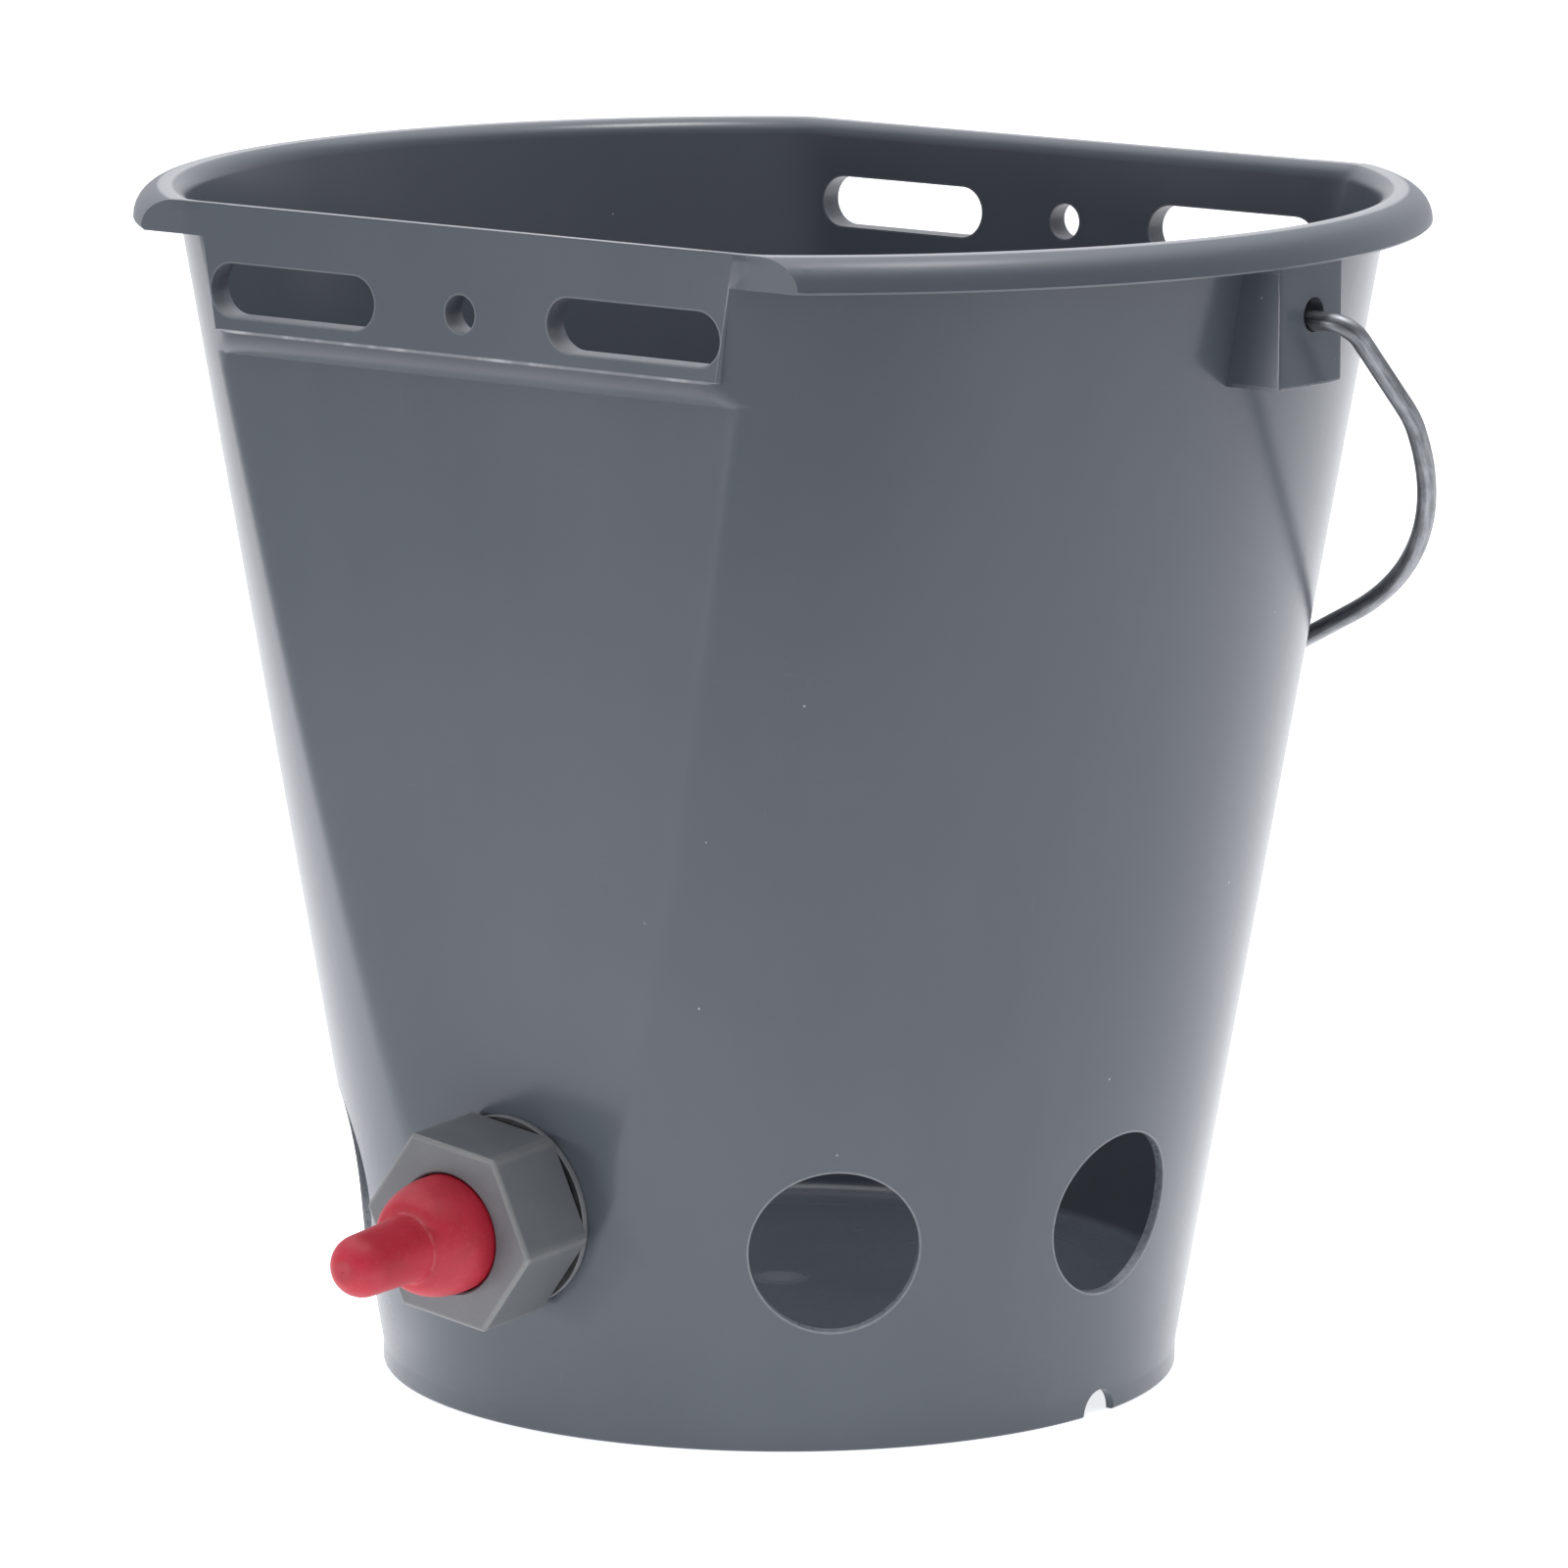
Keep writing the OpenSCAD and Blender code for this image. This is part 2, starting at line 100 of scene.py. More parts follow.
class Socket:
    """A socket of a node tree. Arithmetic on it adds Math nodes, and node() adds any other node."""

    def __init__(self, tree, socket=None):
        self.tree = tree
        self.socket = socket

    def node(self, kind, links=None, output=0, **settings):
        """Adds a node with its settings, then the values or links of its sockets."""
        made = self.tree.nodes.new(kind)
        for name, value in settings.items():
            setattr(made, name, value)
        for key, value in (links or {}).items():
            if isinstance(value, Socket):
                self.tree.links.new(value.socket, made.inputs[key])
            else:
                made.inputs[key].default_value = value
        return Socket(self.tree, made.outputs[output])

    def out(self, key):
        return Socket(self.tree, self.socket.node.outputs[key])

    def into(self, node, key):
        self.tree.links.new(self.socket, node.inputs[key])

    def math(self, operation, *values):
        return self.node("ShaderNodeMath", dict(enumerate(values)), operation=operation)

    def vector(self, operation, *values, output=0):
        return self.node("ShaderNodeVectorMath", dict(enumerate(values)), output, operation=operation)

    def __add__(self, other):
        return self.math("ADD", self, other)

    def __radd__(self, other):
        return self.math("ADD", other, self)

    def __sub__(self, other):
        return self.math("SUBTRACT", self, other)

    def __rsub__(self, other):
        return self.math("SUBTRACT", other, self)

    def __mul__(self, other):
        return self.math("MULTIPLY", self, other)

    def __rmul__(self, other):
        return self.math("MULTIPLY", other, self)

    def __truediv__(self, other):
        return self.math("DIVIDE", self, other)

    def __rtruediv__(self, other):
        return self.math("DIVIDE", other, self)

    def __abs__(self):
        return self.math("ABSOLUTE", self)

    def most(self, other):
        """The greater of two values."""
        return self.math("MAXIMUM", self, other)

    def over(self, value):
        """1 above that value and 0 below it."""
        return self.math("GREATER_THAN", self, value)

    def diagonal(self, other):
        """The distance made up of two values at right angles."""
        total = self * self + other * other
        return total.math("SQRT", total)

    def rise(self, low, high):
        """0 below low, 1 above high, and a smooth step between them."""
        return self.node("ShaderNodeMapRange", {0: self, 1: low, 2: high}, interpolation_type="SMOOTHSTEP")

    def near(self, value, width):
        """1 at that value, fading to 0 at a distance of width."""
        return 1 - abs(self - value).rise(0.3 * width, width)

    def colour(self, low, high):
        """One colour where the value is 0 and another where it is 1."""
        return self.node("ShaderNodeMix", {0: self, 6: low, 7: high}, 2, data_type="RGBA")

    def dot(self, direction):
        return self.vector("DOT_PRODUCT", self, direction, output="Value")

    def stretched(self, *scale):
        return self.vector("MULTIPLY", self, scale)

    def noise(self, scale, detail=2.0, roughness=0.5):
        links = {"Vector": self, "Scale": scale, "Detail": detail, "Roughness": roughness}
        return self.node("ShaderNodeTexNoise", links)

    def emboss(self, shader, strength, depth):
        """Makes the value the height of the shader's bump."""
        bump = self.node("ShaderNodeBump", {"Strength": strength, "Distance": depth, "Height": self})
        bump.into(shader, "Normal")


def start_material(name):
    """A material with its shader and the point on the surface, in the object's own frame."""
    material = bpy.data.materials.new(name)
    material.use_nodes = True
    point = Socket(material.node_tree).node("ShaderNodeTexCoord", output="Object")
    return material, material.node_tree.nodes["Principled BSDF"], point


def axis_distance(point, centre, axis):
    """Distance of a point from a line."""
    across = point.vector("CROSS_PRODUCT", point.vector("SUBTRACT", point, centre), axis)
    return across.vector("LENGTH", across, output="Value")


def bucket_plastic():
    """Satin grey plastic: flow marks, fine scratches, white specks and pale, scraped cut edges, with
    painted shade under the band and painted highlights on the top edge and the floor's gate.
    """
    material, shader, point = start_material("bucket_plastic")
    grey = (0.086, 0.099, 0.119, 1)
    grey_light = (0.100, 0.113, 0.134, 1)
    ledge_shade_colour = (0.02, 0.023, 0.028, 1)
    pale_scrape_and_highlight = (0.24, 0.25, 0.27, 1)
    white_flash_and_highlight = (0.50, 0.51, 0.53, 1)
    teat_holes_top = 90 * mm
    flats_from = 90 * mm
    x = point.node("ShaderNodeSeparateXYZ", {0: point})
    y = x.out("Y")
    z = x.out("Z")
    side = abs(x)
    front = abs(y)
    mirrored = point.node("ShaderNodeCombineXYZ", {0: side, 1: y, 2: z})
    radius = axis_distance(point, (0, 0, 0), (0, 0, 1))
    skin = radius - wall_slope * z - wall_base_r

    flow = point.stretched(26, 26, 5).noise(1.0, 4, 0.55)
    cloud = point.noise(14, 3)
    body = (0.55 * flow + 0.45 * cloud).rise(0.30, 0.72).colour(grey, grey_light)

    # Painted shade darkens the slope under the band, most towards its top.
    under_band = z.rise(flat_top - 0.2 * mm, flat_top + 0.2 * mm)
    under_band = under_band * (1 - z.rise(band_low - 0.6 * mm, band_low))
    under_band = under_band * front.rise(flat_y - 0.9 * mm, flat_y - 0.3 * mm)
    under_band = under_band * (1 - side.rise(band_half_low - 4 * mm, band_half_low))
    painted_ledge_shade = under_band * (0.12 + 0.23 * z.rise(flat_top, band_low - 1 * mm))
    body = painted_ledge_shade.colour(body, ledge_shade_colour)

    # Scuffs run up the wall and scratches round it, both in patches.
    scuff = point.stretched(700, 700, 34).noise(1.0, 3, 0.6).rise(0.64, 0.76)
    scratch = point.vector("ADD", point.stretched(140, 150, 900), (3.1, 0.7, 0))
    scratch = scratch.noise(1.0, 2).rise(0.67, 0.75)
    patch = point.noise(30, 2).rise(0.50, 0.68)
    wear = (0.06 * scuff + 0.05 * scratch) * patch

    cells = point.node("ShaderNodeTexVoronoi", {"Vector": point, "Scale": 210.0})
    chance = cells.out("Color").node("ShaderNodeSeparateColor", {0: cells.out("Color")})
    speck = (1 - cells.rise(0.03, 0.07)) * chance.over(0.965)

    # The saw left the teat holes pale and ragged, most of all on their outer edge.
    ragged = point.noise(900, 3, 0.6)
    cut = None
    for turn, high in (near_hole, far_hole):
        bore = wall_base_r + wall_slope * high
        centre = (bore * math.sin(turn), -bore * math.cos(turn), high)
        axis = (math.sin(turn) * math.cos(wall_lean), -math.cos(turn) * math.cos(wall_lean),
                -math.sin(wall_lean))
        edge = axis_distance(mirrored, centre, axis).near(hole_r, 0.55 * mm)
        cut = edge if cut is None else cut.most(edge)
    arris = skin.rise(-0.7 * mm, -0.2 * mm)
    cut = cut * z.math("LESS_THAN", z, teat_holes_top)
    cut = cut * (0.15 + 0.35 * ragged.rise(0.35, 0.65) + 0.6 * arris)

    run = (abs(side - slot_x) - (slot_half - slot_r)).most(0)
    drop = z - slot_z
    slot_edge = run.diagonal(drop).near(slot_r, 0.5 * mm)
    nail_edge = x.diagonal(drop).near(nail_r, 0.45 * mm)
    punched = slot_edge.most(nail_edge) * front.over(flats_from)
    cut = cut.most(punched * (0.15 + 0.5 * ragged))

    # Moulding left a broken flash line along the band's foot. Lip and ears get pale, broken lines on their
    # lower edges, and the top edge gets a painted highlight.
    on_band = front.rise(band_y - 0.9 * mm, band_y - 0.2 * mm)
    broken = point.stretched(160, 1, 1).noise(1.0, 3).rise(0.45, 0.70)
    fringe = z.near(band_low, 0.45 * mm) * on_band * (0.35 + 0.65 * broken)
    lip_edge = z.near(lip_low, 0.5 * mm) * radius.rise(lip_r - 3 * mm, lip_r - 1 * mm)
    ear_edge = z.near(ear_low + 0.3 * mm, 0.7 * mm) * skin.rise(1 * mm, 2 * mm)
    pale = cut.most(0.35 * lip_edge * ragged + 0.7 * ear_edge * ragged)
    brim_highlight = z.rise(bucket_h - 0.3 * mm, bucket_h - 0.05 * mm) * (0.6 + 0.4 * ragged)
    flash_and_highlight = 0.75 * fringe.most(brim_highlight)

    # The plastic was let in at the middle of the floor: a pale patch there paints the gate mark and the
    # highlight on its nub, and the mould's rings show round it.
    on_floor = z.near(floor_z, 1 * mm)
    gate_and_highlight = on_floor * (1 - radius.rise(2 * mm, 8 * mm))
    rings = radius.near(70 * mm, 0.8 * mm) + radius.near(5 * mm, 1.2 * mm)

    tint = (wear + 0.4 * gate_and_highlight).colour(body, pale_scrape_and_highlight)
    tint = (0.75 * pale).colour(tint, pale_scrape_and_highlight)
    # White goes on the flash line, the specks and the painted highlight along the top edge.
    tint = flash_and_highlight.most(0.6 * speck).colour(tint, white_flash_and_highlight)
    tint.into(shader, "Base Color")
    on_lip = radius.rise(wall_top_r, wall_top_r + 2 * mm)
    on_lip = on_lip * z.rise(lip_low - 2 * mm, lip_low - 0.5 * mm)
    (0.19 + 0.07 * cloud + 0.5 * wear + 0.25 * pale + 0.12 * on_lip).into(shader, "Roughness")
    texture = 0.15 * point.noise(1500, 2) + 0.5 * flow + 0.15 * scratch * patch + on_floor * rings
    texture.emboss(shader, 0.3, 0.25 * mm)
    shader.inputs["Specular IOR Level"].default_value = 0.42
    return material


def new_tree(name, sizes):
    """An empty geometry tree with those named inputs, and the sockets that carry them."""
    tree = bpy.data.node_groups.new(name, "GeometryNodeTree")
    tree.interface.new_socket("Geometry", in_out="OUTPUT", socket_type="NodeSocketGeometry")
    tree.interface.new_socket("Geometry", in_out="INPUT", socket_type="NodeSocketGeometry")
    for label, kind in sizes.items():
        tree.interface.new_socket(label, in_out="INPUT", socket_type="NodeSocket" + kind)
    entry = tree.nodes.new("NodeGroupInput")
    return tree, {socket.name: Socket(tree, socket) for socket in entry.outputs if socket.name}


def end_tree(shape, material):
    """Makes instances real, sets the material and ends the tree."""
    shape = shape.node("GeometryNodeRealizeInstances", {"Geometry": shape})
    shape = shape.node("GeometryNodeSetMaterial", {"Geometry": shape, "Material": material})
    shape.into(shape.tree.nodes.new("NodeGroupOutput"), "Geometry")


def settle(obj):
    """Turns the object's evaluated shape into its plain mesh and removes its modifiers."""
    graph = bpy.context.evaluated_depsgraph_get()
    shape = bpy.data.meshes.new_from_object(obj.evaluated_get(graph))
    obj.modifiers.clear()
    obj.data = shape


def grow(obj, tree, **sizes):
    """Runs a geometry tree on an object, with its inputs given by name."""
    modifier = obj.modifiers.new(tree.name, "NODES")
    modifier.node_group = tree
    for item in tree.interface.items_tree:
        key = item.name.lower().replace(" ", "_")
        if item.in_out == "INPUT" and key in sizes:
            modifier[item.identifier] = sizes[key]
    settle(obj)
    return obj


def add_object(name, shape):
    """A new object from a bmesh."""
    data = bpy.data.meshes.new(name)
    shape.to_mesh(data)
    shape.free()
    obj = bpy.data.objects.new(name, data)
    bpy.context.collection.objects.link(obj)
    return obj


def combine(obj, operation, *tools):
    """Joins closed solids to an object, or cuts it by them, and removes them."""
    for tool in tools:
        step = obj.modifiers.new(tool.name, "BOOLEAN")
        step.operation = operation
        step.solver = "MANIFOLD"
        step.object = tool
    settle(obj)
    for tool in tools:
        bpy.data.objects.remove(tool)


def paint(obj, material):
    """Gives an object one material."""
    obj.data.materials.clear()
    obj.data.materials.append(material)


def smooth(obj, angle=30):
    """Shades an object smooth, except across edges sharper than the angle, and keeps large faces flat."""
    obj.data.polygons.foreach_set("use_smooth", [True] * len(obj.data.polygons))
    obj.data.set_sharp_from_angle(angle=math.radians(angle))
    weigh = obj.modifiers.new("weigh", "WEIGHTED_NORMAL")
    weigh.weight = 100
    weigh.keep_sharp = True
    settle(obj)


def arc(centre, radius, start, end, steps):
    """Points on an arc, from one angle in degrees to another."""
    turns = [math.radians(start + (end - start) * i / steps) for i in range(steps + 1)]
    return [(centre[0] + radius * math.cos(t), centre[1] + radius * math.sin(t)) for t in turns]


def circle(radius, steps=48):
    """Points round a circle."""
    return arc((0, 0), radius, 0, 360 - 360 / steps, steps - 1)


def turned(outline, segments, place=Matrix()):
    """A solid of revolution about Z from points of radius and height, a ring where none is on the axis."""
    shape = bmesh.new()
    rings = []
    for radius, high in outline:
        count = segments if radius > 0 else 1
        turns = [math.tau * i / segments for i in range(count)]
        rings.append([shape.verts.new(place @ Vector((radius * math.cos(t), radius * math.sin(t), high)))
                      for t in turns])
    if outline[0][0] > 0:
        rings.append(rings[0])
    for low, high in zip(rings, rings[1:]):
        for i in range(segments):
            j = (i + 1) % segments
            corners = [low[i % len(low)], low[j % len(low)], high[j % len(high)], high[i % len(high)]]
            shape.faces.new(dict.fromkeys(corners))
    bmesh.ops.recalc_face_normals(shape, faces=shape.faces)
    return shape


def add_prism(shape, outline, low, high, place=Matrix()):
    """Adds a prism on an outline to a bmesh, from one height to another."""
    foot = [shape.verts.new(place @ Vector((a, b, low))) for a, b in outline]
    head = [shape.verts.new(place @ Vector((a, b, high))) for a, b in outline]
    count = len(outline)
    faces = [shape.faces.new(foot[::-1]), shape.faces.new(head)]
    for i in range(count):
        j = (i + 1) % count
        faces.append(shape.faces.new((foot[i], foot[j], head[j], head[i])))
    bmesh.ops.recalc_face_normals(shape, faces=faces)


def soften(shape, edges, width, segments=2):
    """Rounds some edges of a bmesh."""
    bmesh.ops.bevel(shape, geom=edges, offset=width, segments=segments, affect="EDGES", profile=0.5)


grey_plastic = bucket_plastic()

# The wall's rule bends a net of turn, height and offset round the axis: the radius is that of the
# cone or of the flat, whichever is less, with a soft blend where they meet. From the bevel's foot
# upwards the flat swells out to the band.
wall_rule, given = new_tree("wall_rule", {
    "Base Radius": "Float", "Slope": "Float", "Flat Base": "Float", "Flat Slope": "Float",
    "Bevel Foot": "Float", "Band Foot": "Float", "Band": "Float", "Bulge": "Float", "Blend": "Float",
    "Material": "Material"})
net = given["Geometry"].node("GeometryNodeInputPosition")
turn = net.node("ShaderNodeSeparateXYZ", {0: net})
high = turn.out("Y")
offset = turn.out("Z")
on_bevel = high.node("ShaderNodeMapRange", {0: high, 1: given["Bevel Foot"], 2: given["Band Foot"]})
on_bevel = on_bevel * (1 + given["Bulge"] - given["Bulge"] * on_bevel)
plain_flat = given["Flat Base"] + given["Flat Slope"] * high
flat = plain_flat + (given["Band"] - plain_flat) * on_bevel + offset
ahead = abs(turn.math("COSINE", turn))
cone = given["Base Radius"] + given["Slope"] * high + offset
reach = flat / ahead.most(0.2)
radius = cone.math("SMOOTH_MIN", cone, reach, given["Blend"])
bent = net.node("ShaderNodeCombineXYZ", {
    0: radius * turn.math("SINE", turn), 1: radius * turn.math("COSINE", turn) * -1, 2: high})
wall = bent.node("GeometryNodeSetPosition", {"Geometry": given["Geometry"], "Position": bent})
end_tree(wall, given["Material"])


def wall_solid(name, columns, rows, **sizes):
    """A closed solid between rows of height and offset, bent by the wall's rule."""
    shape = bmesh.new()
    rings = [[shape.verts.new((math.tau * i / columns, high, offset)) for i in range(columns)]
             for high, offset in rows]
    for low, high in zip(rings, rings[1:]):
        for i in range(columns):
            j = (i + 1) % columns
            shape.faces.new((low[i], low[j], high[j], high[i]))
    shape.faces.new(rings[0][::-1])
    shape.faces.new(rings[-1])
    return grow(add_object(name, shape), wall_rule, slope=wall_slope, flat_slope=flat_slope,
                material=grey_plastic, **sizes)


def even(low, high, steps):
    """Heights from low to high, the last one left out."""
    return [low + (high - low) * i / steps for i in range(steps)]


def out_to_skirt(z):
    """How far the skirt stands out from the cone at a height."""
    return max(0, skirt_r - wall_base_r - wall_slope * z)


rows = [(z, out_to_skirt(z) - edge_round + math.sqrt(edge_round**2 - (edge_round - z)**2))
        for z in even(0, edge_round, 4)]
rows += [(z, out_to_skirt(z)) for z in even(edge_round, skirt_top, 5)]
rows += [(z, 0) for z in even(skirt_top, flat_top, 64) + even(flat_top, band_low, 7)]
rows += [(z, 0) for z in even(band_low, bucket_h - edge_round, 6)]
rows += [(bucket_h - edge_round * (1 - math.sin(t)), -edge_round * (1 - math.cos(t)))
         for t in even(0, quarter, 4)] + [(bucket_h, -edge_round)]
bucket = wall_solid("bucket_shell", columns=600, rows=rows, base_radius=wall_base_r,
                    flat_base=flat_base_y, bevel_foot=flat_top, band_foot=band_low, band=band_y,
                    bulge=bevel_bulge, blend=1.6 * mm)

# Inside, the flats run straight up to a rounded rim: the bevel's foot lies above it.
above = bucket_h + 1 * mm
rows = [(floor_z + corner_r * (1 - math.cos(t)), -corner_r * (1 - math.sin(t)))
        for t in even(0, quarter, 5)]
rows += [(z, 0) for z in even(floor_z + corner_r, bucket_h - rim_r, 40)]
rows += [(bucket_h - rim_r * (1 - math.sin(t)), rim_r * (1 - math.cos(t)))
         for t in even(0, quarter, 8)] + [(bucket_h, rim_r), (above, rim_r)]
hollow = wall_solid("hollow", columns=240, rows=rows,
                    base_radius=wall_base_r - wall_t / math.cos(wall_lean),
                    flat_base=flat_base_y - wall_t / math.cos(flat_lean), bevel_foot=2 * bucket_h,
                    band_foot=3 * bucket_h, band=band_y, blend=3 * mm)

# The lip is rolled down round the cone, and a web closes its ends at the flats.
lip_root = wall_top_r - 5 * mm
lip_steps = 300
roll_centre = (lip_r - lip_roll, bucket_h - lip_roll)
lip_top = [(lip_root, bucket_h)] + arc(roll_centre, lip_roll, 90, 0, 8)
lip_top += [(lip_r, lip_low + lip_edge_r), (lip_r - lip_edge_r, lip_low)]
lip_under = [(lip_r - lip_t + lip_edge_r, lip_low), (lip_r - lip_t, lip_low + lip_edge_r)]
lip_under += arc(roll_centre, lip_roll - lip_t, 0, 90, 6) + [(lip_root, bucket_h - lip_t)]
lip = add_object("lip", turned(lip_top + lip_under, lip_steps))
lip_web = add_object("lip_web", turned(lip_top + [(lip_root, lip_low)], lip_steps))


def add_box(name, *corners):
    """One object of boxes, each between two corners."""
    shape = bmesh.new()
    for low, high in corners:
        outline = [(low[0], low[1]), (high[0], low[1]), (high[0], high[1]), (low[0], high[1])]
        add_prism(shape, outline, low[2], high[2])
    return add_object(name, shape)


wide = 0.2
below_lip = 0.2
over_lip = 0.3
between = add_box("between_flats", ((-wide, -band_y, below_lip), (wide, band_y, over_lip)))
at_flats = add_box("at_flats", ((-wide, -band_y, below_lip), (wide, lip_t - band_y, over_lip)),
                   ((-wide, band_y - lip_t, below_lip), (wide, band_y, over_lip)))
combine(lip, "INTERSECT", between)
combine(lip_web, "INTERSECT", at_flats)

# The band is a thick plate on each flat.
upright = Matrix.Rotation(quarter, 4, "X")
sideways = Matrix.Rotation(quarter, 4, "Y")
both_sides = (Matrix(), Matrix.Rotation(math.pi, 4, "Z"))
band_face = [(-band_half_low, band_low), (band_half_low, band_low),
             (band_half_top, bucket_h), (-band_half_top, bucket_h)]
shape = bmesh.new()
for side in both_sides:
    add_prism(shape, band_face, band_y - band_depth, band_y + band_proud, side @ upright)
face_edges = [e for e in shape.edges if min(abs(v.co.y) for v in e.verts) > band_y - 1 * mm]
soften(shape, face_edges, band_round)
band = add_object("band", shape)

# Each ear is a block under the lip, hollow from below, with a hole for the bail.
ear_reach = math.degrees(math.asin(ear_half / ear_r))
ear_outline = [(ear_root, ear_half), (ear_root, -ear_half)] + arc((0, 0), ear_r, -ear_reach, ear_reach, 8)
pocket_r = ear_r - ear_t
pocket_half = ear_half - ear_t
pocket_root = ear_root - 5 * mm
pocket_reach = math.degrees(math.asin(pocket_half / pocket_r))
pocket_outline = [(pocket_root, pocket_half), (pocket_root, -pocket_half)]
pocket_outline += arc((0, 0), pocket_r, -pocket_reach, pocket_reach, 8)


def is_ear_edge(edge):
    """Whether it is an outer edge of an ear: a lower one, or an upright one at its side."""
    a, b = (v.co for v in edge.verts)
    lower = a.z + b.z < 2 * ear_low + 1 * mm
    at_side = abs(a.z - b.z) > 5 * mm and abs(a.y) > ear_half - 0.1 * mm
    return min(abs(a.x), abs(b.x)) > ear_r - 3 * mm and (lower or at_side)


shape = bmesh.new()
for side in both_sides:
    add_prism(shape, ear_outline, ear_low, ear_top, side)
soften(shape, [e for e in shape.edges if is_ear_edge(e)], edge_round)
ears = add_object("ears", shape)
pockets = bmesh.new()
pin_holes = bmesh.new()
for side in both_sides:
    add_prism(pockets, pocket_outline, ear_low - 5 * mm, lip_low, side)
    pin_place = side @ Matrix.Translation((0, 0, ear_hole_z)) @ sideways
    add_prism(pin_holes, circle(ear_hole_r), wall_top_r - 1 * mm, lip_r, pin_place)
combine(ears, "DIFFERENCE", add_object("ear_pockets", pockets), add_object("ear_pin_holes", pin_holes))

recess_r = skirt_r - wall_t
recess_top = floor_z - floor_t
recess = add_object("recess", turned(
    [(0, -5 * mm), (recess_r, -5 * mm), (recess_r, recess_top - corner_r)]
    + arc((recess_r - corner_r, recess_top - corner_r), corner_r, 0, 90, 4)[1:]
    + [(0, recess_top)], segments=240))

# The slots and nail holes go through the bands, and the vents through the skirt.
band_cut = (80 * mm, 120 * mm)
vent_cut = (70 * mm, 100 * mm)
slot_end = slot_half - slot_r
stadium = arc((slot_end, 0), slot_r, -90, 90, 20) + arc((-slot_end, 0), slot_r, 90, 270, 20)
shape = bmesh.new()
for side in both_sides:
    for x in (-slot_x, slot_x):
        add_prism(shape, stadium, *band_cut, side @ Matrix.Translation((x, 0, slot_z)) @ upright)
    add_prism(shape, circle(nail_r), *band_cut, side @ Matrix.Translation((0, 0, slot_z)) @ upright)
    add_prism(shape, circle(vent_r), *vent_cut, side @ sideways)
slots = add_object("slots", shape)

# The four open holes stand in a row round the wall, two on each side of the front one.
hole_steps = 96
saw_half = 20 * mm
hole_row, given = new_tree("hole_row", {
    "Hole Radius": "Float", "Depth": "Float", "Base Radius": "Float", "Slope": "Float", "Lean": "Float",
    "Near Turn": "Float", "Near Height": "Float", "Far Turn": "Float", "Far Height": "Float",
    "Material": "Material"})
points = given["Geometry"].node("GeometryNodePoints", {"Count": 4})
index = points.node("GeometryNodeInputIndex")
far = index.over(1.5)
side = 2 * index.math("MODULO", index, 2) - 1
turn = side * (given["Near Turn"] + far * (given["Far Turn"] - given["Near Turn"]))
high = given["Near Height"] + far * (given["Far Height"] - given["Near Height"])
ring = given["Base Radius"] + given["Slope"] * high
place = points.node("ShaderNodeCombineXYZ", {
    0: ring * turn.math("SINE", turn), 1: ring * turn.math("COSINE", turn) * -1, 2: high})
aim = points.node("ShaderNodeCombineXYZ", {0: given["Lean"] + quarter, 2: turn})
saw = points.node("GeometryNodeMeshCylinder", {
    "Vertices": hole_steps, "Radius": given["Hole Radius"], "Depth": given["Depth"]})
points = points.node("GeometryNodeSetPosition", {"Geometry": points, "Position": place})
saws = points.node("GeometryNodeInstanceOnPoints", {
    "Points": points, "Instance": saw, "Rotation": aim.node("FunctionNodeEulerToRotation", {0: aim})})
end_tree(saws, given["Material"])
side_holes = grow(add_object("side_holes", bmesh.new()), hole_row, hole_radius=hole_r, depth=2 * saw_half,
                  base_radius=wall_base_r, slope=wall_slope, lean=wall_lean,
                  near_turn=near_hole[0], near_height=near_hole[1],
                  far_turn=far_hole[0], far_height=far_hole[1], material=grey_plastic)

# The station is the frame of the front hole: its Z axis points out of the wall.
station = (Matrix.Translation((0, -flat_base_y - flat_slope * front_hole_z, front_hole_z))
           @ Matrix.Rotation(quarter + flat_lean, 4, "X"))
front_hole = add_object("front_hole", turned(
    [(0, -saw_half), (hole_r, -saw_half), (hole_r, saw_half), (0, saw_half)], hole_steps, station))

combine(bucket, "UNION", lip, lip_web, band, ears)
combine(bucket, "DIFFERENCE", hollow, recess, slots, side_holes, front_hole)
paint(bucket, grey_plastic)
smooth(bucket)
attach(bucket, "bucket")
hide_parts("bucket")


# The bush is a flanged plastic sleeve pushed out through the teat hole from inside the bucket.
# Its spigot carries a coarse moulded thread for the nut, and its bore holds the ball valve.

bush_flange_r = 22 * mm
bush_flange_back = -7 * mm
bush_flange_face = -4 * mm
collar_r = hole_r - 0.3 * mm
collar_end = -0.3 * mm
spigot_r = 15 * mm
spigot_end = 13.7 * mm
thread_depth = 1.1 * mm
thread_lead = 3 * mm
thread_start = 1.6 * mm
thread_length = 4 * thread_lead - 1.2 * mm
root_r = spigot_r - thread_depth
bush_bore_r = 8 * mm
inlet_r = 4.5 * mm
bush_edge = 0.4 * mm


